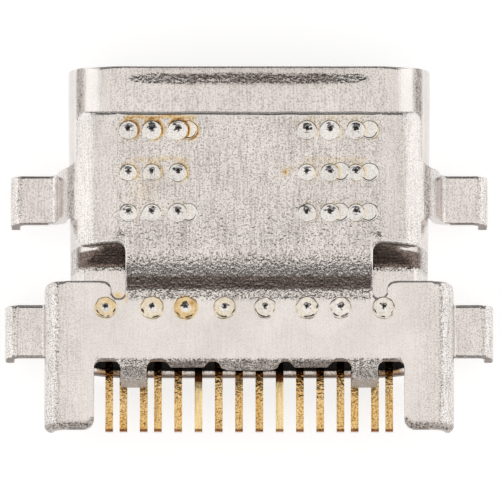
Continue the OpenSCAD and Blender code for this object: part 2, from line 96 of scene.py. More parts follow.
# bends that are rounder here than in the CAD source
PLATE_R, ARM_BEND_R, REAR_EAR_R, LEG_R = 0.62, 0.24, 0.10, 0.15
# forming marks that only the look has: rounding and forward bow of the rim, dip behind it, waist of the
# sides, bow of the panel's front edge
RIM_R, RIM_BOW, DIP, WAIST = 0.06, 0.17, 0.034, 0.06
PANEL_BOW = 0.09
# overshoot of cutting tools, and heights that take in the whole cover
OVER = 0.01
TALL = (-1, 3)
# fineness of the cover's mesh, and how many times its edges are smoothed
COVER_VOXEL, SMOOTHING = 0.046, 3


# ---------------------------------------------------------------- small functions
def smooth(v, a, b):
    """0 up to a, 1 from b, an S curve between."""
    t = min(1.0, max(0.0, (v - a) / (b - a)))
    return t * t * (3 - 2 * t)


def between(v, a, b, c, d):
    """Rises from a to b and falls from c to d."""
    return smooth(v, a, b) * (1 - smooth(v, c, d))


def bell(v, middle, width):
    return math.exp(-((v - middle) / width) ** 2)


def noise_at(x, y, z):
    return noise.noise(Vector((x, y, z)))


def arc(cx, cy, r, a0, a1, step=4.0):
    """Points of an arc between two directions in degrees, about step degrees apart."""
    n = max(2, int(abs(a1 - a0) / step) + 1)
    return [(cx + r * math.cos(math.radians(a)), cy + r * math.sin(math.radians(a)))
            for a in np.linspace(a0, a1, n)]


def mirrored(pts):
    return [(-x, y) for x, y in reversed(pts)]


def corner(x, y, r, sx, sy):
    """Outline of what a quarter disc leaves of the square corner at (x, y)."""
    a = {(1, 1): (270, 180), (-1, 1): (270, 360), (1, -1): (90, 180), (-1, -1): (90, 0)}[(sx, sy)]
    return [(x, y)] + arc(x + sx * r, y + sy * r, r, a[0], a[1], 7)


# ---------------------------------------------------------------- mesh helpers, working in millimetres
def new_object(name, verts, faces):
    me = bpy.data.meshes.new(name)
    me.from_pydata(verts, [], faces)
    ob = bpy.data.objects.new(name, me)
    bpy.context.scene.collection.objects.link(ob)
    return ob


def without_repeats(pts):
    out = []
    for p in pts:
        if not out or math.dist(out[-1], p) > 1e-6:
            out.append(p)
    if math.dist(out[0], out[-1]) < 1e-6:
        out.pop()
    return out


def prism(pts, lo, hi, axis):
    """A closed prism over an outline: axis "y" takes (x, z), "x" takes (y, z), "z" takes (x, y)."""
    pts = without_repeats(pts)
    put = {"y": lambda p, h: (p[0], h, p[1]), "x": lambda p, h: (h, p[0], p[1]),
           "z": lambda p, h: (p[0], p[1], h)}[axis]
    n = len(pts)
    verts = [put(p, lo) for p in pts] + [put(p, hi) for p in pts]
    faces = [tuple(range(n)), tuple(range(2 * n - 1, n - 1, -1))]
    faces += [(i, n + i, n + (i + 1) % n, (i + 1) % n) for i in range(n)]
    ob = new_object("prism", verts, faces)
    bm = bmesh.new()
    bm.from_mesh(ob.data)
    bmesh.ops.recalc_face_normals(bm, faces=bm.faces)
    bm.to_mesh(ob.data)
    bm.free()
    return ob


def drop(ob):
    me = ob.data
    bpy.data.objects.remove(ob)
    bpy.data.meshes.remove(me)


def apply(ob):
    """Put the result of the modifiers in place of the object's mesh."""
    bpy.context.view_layer.update()
    made = bpy.data.meshes.new_from_object(ob.evaluated_get(bpy.context.evaluated_depsgraph_get()))
    old = ob.data
    ob.modifiers.clear()
    ob.data = made
    bpy.data.meshes.remove(old)


def cut(ob, tools, how="DIFFERENCE"):
    for t in tools:
        m = ob.modifiers.new("b", "BOOLEAN")
        m.operation, m.solver, m.object = how, "EXACT", t
        apply(ob)
    for t in tools:
        drop(t)
    return ob


def join(obs, name):
    """One mesh from several, without merging anything."""
    verts, faces = [], []
    for o in obs:
        start = len(verts)
        verts += [tuple(v.co) for v in o.data.vertices]
        faces += [tuple(i + start for i in p.vertices) for p in o.data.polygons]
    for o in obs:
        drop(o)
    return new_object(name, verts, faces)


# ---------------------------------------------------------------- weld spots
# deep scales a panel weld's cone and is 0 on the rear plate; size is 1 at a radius of 0.272 mm
Weld = namedtuple("Weld", "x y z deep size")
PANEL_ROWS = (-1.677, -2.742, -3.750)
PANEL_COLUMNS = (-2.968, -2.393, -1.754, 1.419, 1.985, 2.624)
COLUMN_EXTRA = (-0.04, 0.0, 0.04, 0.0, 0.03, -0.02)
PANEL_WELDS = [Weld(x, y, PANEL_Z, deep, size + extra)
               for y, deep, size in zip(PANEL_ROWS, (1.0, 0.9, 0.8), (0.96, 0.86, 0.90))
               for x, extra in zip(PANEL_COLUMNS, COLUMN_EXTRA)]
PLATE_WELDS = [Weld(x, -6.015, PLATE_Z, 0.0, size)
               for x, size in ((-3.53, 1.02), (-2.39, 1.12), (-1.56, 1.12), (-0.605, 1.07), (0.39, 1.03),
                               (1.42, 1.08), (2.25, 1.03), (3.31, 1.06))]
# flatter second discs beside some panel welds: x, y, strength
GHOSTS = [(-1.50, -1.677, 0.9), (2.95, -1.677, 0.8), (-1.50, -3.744, 0.6), (2.95, -2.742, 0.7),
          (2.93, -3.744, 0.9), (2.24, -2.72, 0.5), (2.22, -3.744, 0.5)]
GHOST_SIZE = 0.92
WELD_RADII = [0.015 * i for i in range(18)] + [0.272]
WELD_SIDES = 44
WELD_SINK = 0.012


def weld_height(k, dx, dy, deep):
    """Height of a weld's face over the sheet: a bead with a rim and a small cone, off its middle."""
    r = math.hypot(dx, dy)
    q = Vector((dx * 9 + 7 * k, dy * 9, 5.0))
    ox = 0.03 * noise_at(k * 1.7, 4.2, 1.0)
    oy = 0.025 + 0.02 * noise_at(k * 2.3, 1.2, 6.0)
    wide = (0.105 if deep > 0 else 0.095) + 0.03 * noise_at(k * 1.1, 0.5, 0.2)
    d = math.hypot(dx - ox, dy - oy) / wide
    cone = (0.055 * deep if deep > 0 else 0.050) * max(0.0, 1 - d * (1 + 0.5 * noise.noise(q * 1.4))) ** 1.1
    if deep > 0:
        bead = 0.020 * (1 - min(1.0, r / 0.25) ** 2.5)
        rim = 0.007 * bell(r, 0.232, 0.016) * (1 + noise.noise(q * 0.5))
        rough = 0.0035 * noise.noise(q * 1.2)
    else:
        bead = 0.006
        rim = 0.010 * bell(r, 0.238, 0.026) * (0.8 + 2.2 * noise.noise(q * 0.9))
        rough = 0.006 * noise.noise(q * 0.9)
    return 0.004 + bead + cone + rim + rough


def ghost_height(k, dx, dy, r, strength):
    """Height of a second disc: nearly flat, with a low rim."""
    flat = 0.010 * strength * (1 - (r / 0.30) ** 2) + 0.012 * bell(r, 0.235, 0.022)
    return flat + 0.003 * noise_at(dx * 14 + k, dy * 14, 1.0)


def spot_points(k, spot, ghost):
    """Points of one spot: its middle, then ring after ring, the last ring sunk into the sheet."""
    pts = []
    wobble = 0.045 if spot.deep else 0.10
    for r in WELD_RADII:
        for i in range(WELD_SIDES if r else 1):
            a = 2 * math.pi * i / WELD_SIDES
            out = spot.size * (1 + wobble * noise_at(1.8 * math.cos(a) + 7 * k, 1.8 * math.sin(a), 2.0))
            dx, dy = r * out * math.cos(a), r * out * math.sin(a)
            if r == WELD_RADII[-1]:
                z = -WELD_SINK
            elif ghost:
                z = ghost_height(k, dx, dy, r, spot.deep)
            else:
                z = weld_height(k, dx / spot.size, dy / spot.size, spot.deep)
            pts.append((spot.x + dx, spot.y + dy, spot.z + z))
    return pts


def spot_faces(base):
    """Faces of one spot whose points start at base: a fan, bands between rings and a flat underside."""
    n = WELD_SIDES
    faces = [(base, base + 1 + i, base + 1 + (i + 1) % n) for i in range(n)]
    rings = [base + 1 + j * n for j in range(len(WELD_RADII) - 1)]
    for a0, b0 in zip(rings, rings[1:]):
        for i in range(n):
            p = (i + 1) % n
            faces.append((a0 + i, b0 + i, b0 + p, a0 + p))
    faces.append(tuple(rings[-1] + i for i in range(n))[::-1])
    return faces


def build_welds():
    verts, faces = [], []
    ghosts = [Weld(x, y, PANEL_Z, strength, GHOST_SIZE) for x, y, strength in GHOSTS]
    for k, spot in enumerate(ghosts + PANEL_WELDS + PLATE_WELDS):
        faces += spot_faces(len(verts))
        verts += spot_points(k, spot, k < len(ghosts))
    return new_object("weld_spots", verts, faces)


# ---------------------------------------------------------------- the cover's sections
def leg_path(x):
    """Outer and inner line of an ear's bend and board leg whose outer face is at x."""
    c = x - T - LEG_R
    z = BOARD_Z - LEG_R
    outer = arc(c, z, LEG_R + T, 90, 0, 8) + [(x, LEG_Z)]
    inner = [(x - T, LEG_Z)] + arc(c, z, LEG_R, 0, 90, 12)
    return outer, inner


def arm_section():
    """Front arm: round the shell's side, left by its outer line at 3 degrees, to the ear and the leg."""
    leg_outer, leg_inner = leg_path(FRONT_LEG_X)
    r = ARM_BEND_R
    x, z = ARM_X + r, EAR_Z + r
    outer = [(2.0, PANEL_Z)] + arc(BEND_X, 0, SHELL_R + T, 90, 3) + arc(x, z, r, 180, 270, 9) + leg_outer
    inner = leg_inner + arc(x, z, r + T, 270, 180, 6) + arc(BEND_X, 0, SHELL_R, ARM_START, 90)
    return outer + inner + [(2.0, SHELL_R)]


def rear_ear_section():
    leg_outer, leg_inner = leg_path(REAR_LEG_X)
    r = REAR_EAR_R
    x, z = PLATE_HW + r, EAR_Z + r
    outer = [(PLATE_HW, 0.7)] + arc(x, z, r, 180, 270, 12) + leg_outer
    inner = leg_inner + arc(x, z, r + T, 270, 180, 6) + [(PLATE_HW - T, 0.7)]
    return outer + inner


def panel_section():
    a = 90 - math.degrees(WRAP)
    right = arc(BEND_X, 0, SHELL_R + T, 90, a, 3) + arc(BEND_X, 0, SHELL_R, a, 90, 3)
    return right + mirrored(right)


def wall_section(z):
    """Rear plate with its side walls down to z."""
    x = PLATE_HW - PLATE_R
    outer = arc(x, PLATE_Z - PLATE_R, PLATE_R, 90, 0, 5) + [(PLATE_HW, z)]
    inner = [(PLATE_HW - T, z)] + arc(x, PLATE_Z - PLATE_R, PLATE_R - T, 0, 90, 8)
    right = outer + inner
    return right + mirrored(right)


def step_profile():
    """Centre strip in Y and Z, from under the panel down the step to under the plate."""
    a, r1, r2 = STEP_SLOPE, STEP_R_TOP, STEP_R_LOW
    s, c = math.sin(math.radians(a)), math.cos(math.radians(a))
    length = (DROP - (r1 + r2) * (1 - c)) / s
    y0 = -STEP_Y
    y1 = y0 - (r1 + r2) * s - length * c
    top = [(-STRIP_FRONT, PANEL_Z)] + arc(y0, PANEL_Z - r1, r1, 90, 90 + a, 3) + \
        arc(y1, PLATE_Z + r2, r2, 270 + a, 270, 4) + [(-STRIP_END, PLATE_Z)]
    low = [(-STRIP_END, LOW_Z)] + arc(y1, PLATE_Z + r2, r2 + T, 270, 270 + a, 4) + \
        arc(y0, PANEL_Z - r1, r1 - T, 90 + a, 90, 4) + [(-STRIP_FRONT, SHELL_R)]
    return top + low


def turned(y, turn, r=0.33, end=None):
    """Profile of the rear edge turned down by turn degrees from y on, with a straight part to height end."""
    z = PLATE_Z - r
    outer = [(-LIP_FRONT, PLATE_Z)] + arc(-y, z, r, 90, 90 + turn, 6)
    inner = arc(-y, z, r - T, 90 + turn, 90, 10) + [(-LIP_FRONT, LOW_Z)]
    if end is not None:
        outer.append((-y - r, end))
        inner.insert(0, (-y - r + T, end))
    return outer + inner


# ---------------------------------------------------------------- the cover's parts
def leg_cuts(x, front, rear, chamfer=0.18):
    """Tools for the chamfers at both lower corners of a board leg whose outer face is at x."""
    lo, hi = (x - 0.4, x + 0.1) if x > 0 else (x - 0.1, x + 0.4)
    tools = []
    for y, inward in ((-front, -1), (-rear, 1)):
        outline = [(y - inward * 0.1, LEG_Z - 0.1), (y + inward * chamfer, LEG_Z - 0.1),
                   (y + inward * chamfer, LEG_Z), (y, LEG_Z + chamfer), (y - inward * 0.1, LEG_Z + chamfer)]
        tools.append(prism(outline, lo, hi, "x"))
    return tools


def front_panel():
    panel = prism(panel_section(), -PANEL_REAR, -PANEL_FRONT, "y")
    tools = []
    for s in (1, -1):
        x = s * (EDGE_X + OVER)
        tools.append(prism(corner(x, -PANEL_FRONT + OVER, PANEL_CORNER_R, -s, -1), *TALL, "z"))
        tools.append(prism(corner(x, -PANEL_REAR - OVER, PANEL_CORNER_R, -s, 1), *TALL, "z"))
    return cut(panel, tools)


def front_arm(s):
    """One front arm with its ear and leg, and the fillets between it and the panel's side edge."""
    front, rear = FRONT_EAR
    section = arm_section()
    wrap = arc(BEND_X, 0, SHELL_R + T, 75, 0) + arc(BEND_X, 0, SHELL_R, 0, 75)
    if s < 0:
        section, wrap = mirrored(section), mirrored(wrap)
    parts = [cut(prism(section, -rear, -front, "y"), leg_cuts(s * FRONT_LEG_X, front, rear))]
    for y, sy in ((-front, 1), (-rear, -1)):
        patch = prism(wrap, y - 0.3, y + 0.3, "y")
        plan = prism(corner(s * (EDGE_X - 0.03), y, ARM_FILLET, s, sy), *TALL, "z")
        parts.append(cut(patch, [plan], "INTERSECT"))
    return parts


def centre_strip():
    strip = prism(step_profile(), -SLOT_X, SLOT_X, "x")
    x = STRIP_HW + STRIP_FILLET
    half = [(x, -4.0), (x, -PANEL_REAR)] + arc(x, -PANEL_REAR - STRIP_FILLET, STRIP_FILLET, 90, 180, 8)
    half += [(STRIP_HW, -SLOT_END + SLOT_R)] + arc(SLOT_X, -SLOT_END + SLOT_R, SLOT_R, 180, 270, 8)
    half += [(SLOT_X, -STRIP_END)]
    return cut(strip, [prism(half + mirrored(half), *TALL, "z")], "INTERSECT")


def rear_plate():
    plate = prism(wall_section(SKIRT_Z), -PRONG_END, -PLATE_FRONT, "y")
    tip, c = PRONG_TIP_R, PLATE_CORNER_R
    half = arc(PRONG_X - NOTCH_R, -PLATE_REAR - NOTCH_R, NOTCH_R, 90, 0, 12)
    half += [(PRONG_X, -PRONG_END + tip)] + arc(PRONG_X + tip, -PRONG_END + tip, tip, 180, 270, 8)
    half += arc(PLATE_HW - c, -PRONG_END + c, c, 270, 360, 8)
    half += arc(PLATE_HW - c, -PLATE_FRONT - c, c, 0, 90, 8)
    mouth = SLOT_X + SLOT_R + SLOT_MOUTH_R
    half += [(mouth, -PLATE_FRONT)] + arc(mouth, -PLATE_FRONT - SLOT_MOUTH_R, SLOT_MOUTH_R, 90, 180, 12)
    half += [(SLOT_X + SLOT_R, -SLOT_END + SLOT_R)]
    half += arc(SLOT_X, -SLOT_END + SLOT_R, SLOT_R, 0, -90, 8) + [(SLOT_X, -5.84)]
    return cut(plate, [prism(half + mirrored(half), *TALL, "z")], "INTERSECT")


def rear_ear(s):
    """One rear ear with its leg, and the fillets under the side wall before and behind it."""
    front, rear = REAR_EAR
    section = rear_ear_section()
    if s < 0:
        section = mirrored(section)
    parts = [cut(prism(section, -rear, -front, "y"), leg_cuts(s * REAR_LEG_X, front, rear))]
    wall = sorted((s * (PLATE_HW - T), s * PLATE_HW))
    for y, sy in ((-front, 1), (-rear, -1)):
        parts.append(prism(corner(y, SKIRT_Z, SKIRT_FILLET, sy, -1), *wall, "x"))
    return parts


def lip(x, width, profile, taper=None):
    """A lip or tab of the rear edge, its root rounded into the plate; taper is the plan of its side."""
    h, r = width / 2, NOTCH_R
    side = [(h + r, -7.1), (h + r, -PLATE_REAR)] + arc(h + r, -PLATE_REAR - r, r, 90, 180, 12)
    side += taper or [(h, -8.5)]
    plan = [(x + a, y) for a, y in side] + [(x - a, y) for a, y in reversed(side)]
    return cut(prism(profile, x - h - r, x + h + r, "x"), [prism(plan, *TALL, "z")], "INTERSECT")


def build_cover():
    parts = [front_panel()] + front_arm(1) + front_arm(-1) + [centre_strip(), rear_plate()]
    for s in (1, -1):
        parts += rear_ear(s)
        parts.append(lip(s * LIP_X, LIP_W, turned(7.36, 27), [(0.42, -7.50), (0.36, -8.5)]))
        parts.append(lip(s * TAB_X, TAB_W, turned(7.45, 90, end=-0.08)))
    parts.append(lip(0, MIDDLE_LIP_W, turned(7.36, 44), [(0.69, -7.50), (0.52, -7.58), (0.52, -8.5)]))
    ob = join(parts, "cover_sheet")
    m = ob.modifiers.new("r", "REMESH")
    m.mode, m.voxel_size, m.use_smooth_shade = "VOXEL", COVER_VOXEL, True
    apply(ob)
    m = ob.modifiers.new("s", "SMOOTH")
    m.factor, m.iterations = 0.5, SMOOTHING
    apply(ob)
    for v in ob.data.vertices:
        x, y, z = v.co
        if y > -1.7 and z > 0.6:
            side = min(1.0, max(0.0, (abs(x) - 2.9) / 1.1))
            bow = PANEL_BOW * side * side + 0.012 * noise_at(x * 2.1, 0.3, 0.7)
            v.co.y += bow * min(1.0, max(0.0, (y + 1.7) / 0.4))
    return ob


# ---------------------------------------------------------------- the inner shell, as a grid over its section
def step_height(y, top, r1, r2):
    """Height of the roof at y: flat, upper bend, slope, lower bend, flat."""
    a = math.radians(PRESS_SLOPE)
    slope = (DROP - (r1 + r2) * (1 - math.cos(a))) / math.sin(a)
    start = -PRESS_Y + (r1 + r2) * math.sin(a) + slope * math.cos(a)
    d = start - y
    left = -PRESS_Y - y
    if d <= 0:
        return top
    if d < r1 * math.sin(a):
        return top - r1 + math.sqrt(r1 * r1 - d * d)
    if left >= 0:
        return top - DROP
    if -left < r2 * math.sin(a):
        return top - DROP + r2 - math.sqrt(r2 * r2 - left * left)
    return top - r1 * (1 - math.cos(a)) - (d - r1 * math.sin(a)) * math.tan(a)


def pressed(z, h, soft):
    """Height z brought down to h where it is above, with an edge as soft as given."""
    d = (h - z) / soft
    if d < -30:
        return h
    if d > 30:
        return z
    return h - soft * math.log1p(math.exp(d)) if d > 0 else z - soft * math.log1p(math.exp(-d))


def ring(r, y, h, soft, waist=0.0, bow=0.0):
    """Points of the round-ended section of radius r, its top pressed down to h."""
    flat, bend = 56, 40
    side = arc(0, 0, r, 90, -90, 180 / bend)
    pts = [(-END_X + 2 * END_X * i / flat, r) for i in range(flat)]
    pts += [(END_X - waist * abs(math.cos(math.atan2(z, x))) + x, z) for x, z in side]
    pts += [(END_X - 2 * END_X * i / flat, -r) for i in range(1, flat)]
    pts += [(-END_X + waist * abs(math.cos(math.atan2(z, x))) - x, z) for x, z in reversed(side)]
    out = []
    for x, z in pts[:-1]:
        z = min(pressed(z, h, soft), r)
        out.append((x, y + bow * (1 - min(1.0, abs(z) / r)), z))
    return out


def rim_bow(y):
    """How far the rim stands forward at the shell's round sides."""
    return RIM_BOW * max(0.0, 1 + y / 1.0) ** 2


def roof_height(y, top, r1, r2):
    """Height to which the section is pressed at y, out of reach where the roof isn't pressed."""
    h = step_height(y, top, r1, r2)
    return h + (1.0 if h > top - 1e-9 else 0.0)


def outer_row(y):
    r = SHELL_R
    if y > -RIM_R:
        r -= RIM_R - math.sqrt(max(0.0, RIM_R ** 2 - (RIM_R + y) ** 2))
    if y < -SHELL_LEN + 0.02:
        r -= 0.02
    h = roof_height(y, SHELL_R, PRESS_R_TOP, PRESS_R_LOW)
    waist = WAIST * min(1.0, max(0.0, (-y - 0.8) / 4.0))
    dip = DIP * smooth(y, -0.46, -0.20)
    return [(px, py, pz - math.copysign(dip * (1 - smooth(abs(px), 2.5, 3.4)), pz))
            for px, py, pz in ring(r, y, h, 0.02 + 0.05 * smooth(-y, 4.0, 4.3), waist, rim_bow(y))]


def inner_row(y):
    lead_in = 0.09 * (1 + y / 0.12) if y > -0.12 else 0.0
    rear_lean = 0.27 * max(0.0, -7.13 - y)
    h = roof_height(y, BORE_R, PRESS_R_TOP - SHELL_T, PRESS_R_LOW + SHELL_T)
    return ring(BORE_R + lead_in + rear_lean, y, h, 0.02, bow=rim_bow(y))


def build_shell():
    ys = [-RIM_R * (1 - math.cos(t)) for t in np.linspace(0, math.pi / 2, 6)] + [-0.10]
    spans = ((-0.15, -0.52, 0.03), (-0.54, -4.2, 0.09), (-4.2, -5.05, 0.022), (-5.06, -7.10, 0.12))
    for start, end, step in spans:
        ys += list(np.arange(start, end, -step))
    ys += [-7.13, -7.18, -SHELL_LEN + 0.01, -SHELL_LEN]
    rows = [outer_row(y) for y in ys] + [inner_row(y) for y in reversed(ys)]
    n, m = len(rows[0]), len(rows)
    verts = [p for row in rows for p in row]
    faces = []
    for j in range(m):
        k = (j + 1) % m
        for i in range(n):
            a = (i + 1) % n
            faces.append((j * n + i, j * n + a, k * n + a, k * n + i))
    return new_object("shell_body", verts, faces)


# ---------------------------------------------------------------- heat tint, from 0 to 1
# straw under 0.3, gold to 0.6, brown above
HALO_R = 0.262
# for the welds on the left and on the right, front row to rear row
HALO_TINT = ((1.15, 0.62, 0.15), (0.30, 0.45, 0.22))
# from x, to x, y, amount
STREAKS = ((-3.10, -1.28, -1.36, 0.74), (-2.95, -1.42, -2.42, 0.30), (1.30, 2.90, -2.42, 0.24),
           (1.40, 2.90, -1.37, 0.16), (-2.62, -2.50, -1.50, 1.0), (-1.98, -1.86, -1.52, 0.8))
# x, y, radius, amount
STAINS = ((-2.60, -3.20, 0.32, 0.16), (0.90, -2.73, 0.09, 0.8), (1.05, -2.62, 0.04, 0.6))
# for the rear plate's welds, left to right
PLATE_TINT = (0.40, 0.28, 0.56, 0.22, 0.10, 0.12, 0.08, 0.10)


def halo(x, y, weld):
    """Tint beside a panel weld: a thin patchy ring, strongest to its right and front."""
    dx, dy = (x - weld.x) / weld.size, (y - weld.y) / weld.size
    d = math.hypot(dx, dy)
    if d > 0.6:
        return 0.0
    row = PANEL_ROWS.index(weld.y)
    facing = (0.75 * dx + 0.45 * dy) / max(d, 0.01)
    patchy = 0.50 + 0.62 * facing + 0.55 * noise_at(dx * 5 + 9 * weld.x, dy * 5, 3.0 + row)
    return HALO_TINT[weld.x > 0][row] * max(0.0, patchy) * bell(d, HALO_R, 0.022 if d < HALO_R else 0.050)


def ghost_halo(x, y, gx, gy):
    """Tint round the right side of a second disc."""
    if x <= gx + 0.02:
        return 0.0
    d = math.hypot(x - gx, y - gy) / GHOST_SIZE
    patchy = 0.75 + 0.4 * noise_at(x * 5, y * 5, 7.0) - 0.25 * (y - gy) / max(d, 0.01)
    return (1.0 if gx < 0 else 0.3) * patchy * bell(d, HALO_R, 0.035)


def streak(x, y, x0, x1, middle, amount):
    """Tint along a wavy line across the panel."""
    if not x0 < x < x1:
        return 0.0
    patchy = 0.85 + 0.5 * noise_at(x * 3, y * 6, 1.0)
    wavy = middle + 0.04 * noise_at(x * 2.2, 0.4, 2.0)
    ends = min(1.0, (x - x0) / 0.06, (x1 - x) / 0.06)
    return ends * amount * patchy * bell(y, wavy, 0.055)


def stain(x, y, sx, sy, r, amount):
    d = math.hypot(x - sx, y - sy)
    return amount * math.exp(-(d / r) ** 2) * (0.6 + 0.6 * abs(noise_at(x * 22, y * 22, 4.0)))


def plate_tint(x, y):
    """Tint of the rear plate: over its welds, and by the end of the left slot."""
    best = 0.0
    for weld, amount in zip(PLATE_WELDS, PLATE_TINT):
        d = math.hypot((x - weld.x) / weld.size, (y - weld.y) / weld.size)
        if d < 0.4:
            patchy = 0.95 + 0.35 * noise_at(x * 5, y * 5, 5.0)
            best = max(best, amount * patchy * between(d, 0.08, 0.13, 0.24, 0.30))
    slot_end = 0.72 * math.exp(-(math.hypot((x + 3.21) / 0.9, y + 5.66) / 0.10) ** 2)
    slot_side = 0.45 * bell(x, -3.03, 0.03) * between(-y, 5.62, 5.70, 5.85, 5.95)
    return max(best, slot_end, slot_side)


def browning(x, y, z):
    """How far the steel is burnt at a point."""
    best = 0.0
    if y > -4.6 and z > 1.0:
        best = max(halo(x, y, weld) for weld in PANEL_WELDS)
        best = max(best, *(ghost_halo(x, y, gx, gy) for gx, gy, _ in GHOSTS[:2]))
        best = max(best, *(streak(x, y, *s) for s in STREAKS))
        best = max(best, *(stain(x, y, *s) for s in STAINS))
    elif y < -5.6 and z > 0.5:
        best = plate_tint(x, y)
    return min(1.0, best)


# ---------------------------------------------------------------- grain and painted shade at a point
# the turned-down tabs: their span across the width, and the y behind which their faces are
TAB_FROM, TAB_TO, TAB_FACE = 2.45, 3.25, -7.5


def panel_grain_and_shade(x, y):
    """Panel, arms and centre strip: sandy, glossy at the sides, coarse on the step, with painted shade on the
    step and along the arms' wrap.
    """
    dark = 0.0
    g = 0.66 + 0.10 * smooth(-y, 3.2, 4.4) - 0.28 * smooth(x, 3.15, 3.5)
    if 2.3 < -y < 3.75:
        bend = between(x, 4.27, 4.33, 4.42, 4.56)
        g = max(g, 1.1 * bend, 0.55 if x > 4.3 else 0.0)
        # painted shade along the arms' wrap
        dark = 0.40 * bend
    g -= 0.12 * smooth(x, 4.75, 4.95)
    g = max(g, 0.62 * smooth(x, 5.45, 5.6))
    if y > -1.34:
        g = 0.30
    if x < 3.1:
        if y < -3:
            g = max(g, 0.66 + 0.50 * smooth(-y, 4.55, 4.95))
        # painted shade on the centre strip's step
        dark = 0.15 * smooth(-y, 5.0, 5.2) + 0.76 * smooth(-y, 5.22, 5.32)
        dark *= 1 - smooth(-y, 5.54, 5.58)
        if y < -5.5:
            g = 1.15 - 1.0 * smooth(-y, 5.74, 5.88)
        if x > 2.985 and y < -4.65:
            g, dark = 0.12, 0.0
    return g, dark


def plate_grain_and_shade(x, y):
    """Rear plate, rear ears and prongs: fine, coarser over the side bends and round the prongs' edges, with
    painted shade round the prongs' edges.
    """
    g = max(0.15 + 0.22 * smooth(x, 3.9, 4.5), 0.72 * between(x, 4.50, 4.75, 5.0, 5.2))
    if y > -8:
        g = max(g, 0.40 if x > 5.1 else 0.0, 0.62 * smooth(x, 5.55, 5.7))
    if x < 3.6:
        return g, 0.0
    tip_d = math.hypot(x - 4.10, y + 8.72) if x < 4.1 and y < -8.72 else 0
    edge = max(smooth(-y, 8.80, 8.93), smooth(tip_d, 0.14, 0.26))
    # painted shade round the prongs' edges
    return max(g, 1.15 * edge), 0.45 * edge


def cover_grain_and_shade(x, y, z, n):
    """Grain and painted shade of the cover: fine on flats, coarse where bent, painted shade on the step, the
    turned rear edge and the cut faces.
    """
    x = abs(x)
    g, dark = panel_grain_and_shade(x, y) if y > -STRIP_END and (x < 3.1 or y > -5.0) else plate_grain_and_shade(x, y)
    if x < 3.75 and y < -7.22:
        g = max(g, 1.25 * smooth(-y, 7.24, 7.32))
        # painted shade on the turned rear edge
        dark = (0.72 if x > 1 else 0.46) * smooth(-y, 7.30, 7.38)
        if TAB_FROM < x < TAB_TO:
            # painted shade on the tabs' faces and bends
            if y < TAB_FACE:
                return 1.3 - 0.6 * smooth(-z, -0.95, -0.82), 0.36
            return g, 0.52 * smooth(-y, 7.5, 7.6)
    # painted shade on cut faces that face backwards
    if n[1] < -0.72 and (x > 4.0 or y > -5 or (x > 0.2 and y > -7.5)):
        cut_face = smooth(-n[1], 0.72, 0.92) * (0.2 if 4.42 < x < 4.95 else 1.0)
        g, dark = max(g, 1.1 * cut_face), max(dark, 0.85 * cut_face)
    return g, dark


def dip_grain_and_shade(x, y):
    """The dip behind the rim: coarse, with painted shade in patches and along the rim, fading towards the
    sides.
    """
    wave = 0.05 * noise_at(x * 1.1, 0.3, 5.0)
    side = abs(x)
    k = between(y, -0.58, -0.36 + wave, -0.27 + wave, -0.10) * (1 - smooth(side, 2.3, 3.3))
    patchy = 0.9 + 0.5 * noise_at(x * 1.3, y * 6, 2.0) + 1.4 * noise_at(x * 11, y * 20, 4.0)
    # painted shade in patches
    dark = 0.62 * k * (1 - smooth(side, 1.3, 3.0)) * patchy
    # painted shade along the rim
    rim = 0.20 * smooth(y, -0.22, -0.12) * (1 - smooth(side, 2.2, 3.1))
    return 1.3 * k, max(dark, rim)


def shell_grain_and_shade(x, y, z, n):
    """Grain and painted shade of the shell: coarse at the rim and on the step, glossy on the round sides;
    painted shade on the step's slope, on a stripe along each side, on the outermost part of the sides and on
    the rear end.
    """
    side = abs(x)
    g, dark = 0.48 - 0.38 * smooth(side, 3.3, 3.7), 0.0
    if z > 0:
        dip, dark = dip_grain_and_shade(x, y)
        g = max(g, dip)
        if y < -4.1:
            shine = between(side, 3.62, 3.80, 4.10, 4.22) * (1 - smooth(abs(-y - 4.50), 0.04, 0.09))
            slope = between(-y, 4.38, 4.46, 4.94, 4.98) * (1 - shine)
            g = max(0.95 * slope, 1.1 * between(-y, 4.90, 4.95, 5.02, 5.10), 0.30)
            # painted shade on the step's slope
            dark = slope * (1 - smooth(side, 4.18, 4.30))
        if y > -4.2:
            stripe = between(side, 4.05, 4.12, 4.22, 4.29)
            g = max(g, 1.2 * stripe)
            # painted shade on a stripe along each side, strongest near the rim
            dark = max(dark, 0.55 * stripe * (1 - 0.8 * smooth(-y, 0.9, 1.4)))
    # painted shade over the rear end
    if y < -SHELL_LEN + 0.02:
        return 0.6, 1.0
    # painted shade on the outermost part of the round sides
    return g, max(dark, 0.16 * smooth(side, 4.28, 4.34))


def spots_grain_and_shade(x, y, z, n):
    """Grain and painted shade of the weld spots: smooth beads, painted shade in a small patch beside the
    middle where the pit is, and in a ring round each plate weld's rim.
    """
    g = 0.36 if y > -5 else 0.30
    for k, weld in enumerate(PANEL_WELDS + PLATE_WELDS):
        dx, dy = x - weld.x, y - weld.y
        d = math.hypot(dx, dy)
        if not weld.deep and 0.04 < d * d < 0.11:
            patchy = noise_at(dx * 9 + 3 * k, dy * 9, 6.0)
            # painted shade in a ring round a plate weld's rim
            return g, 0.6 * bell(d / weld.size, 0.245, 0.025) * max(0.0, 0.25 + 1.3 * patchy)
        if d * d < 0.03:
            a = math.atan2(dy - 0.03, dx)
            r = (0.076 if weld.deep else 0.060) * weld.size
            r *= 1 + 0.7 * noise_at(1.4 * math.cos(a) + 5 * k, 1.4 * math.sin(a), 0.3)
            # painted shade in a patch beside the middle, where the pit is
            return g, 1 - smooth(math.hypot(dx, (dy - 0.03) * 1.2), r * 0.75, r)
    return g, 0.0


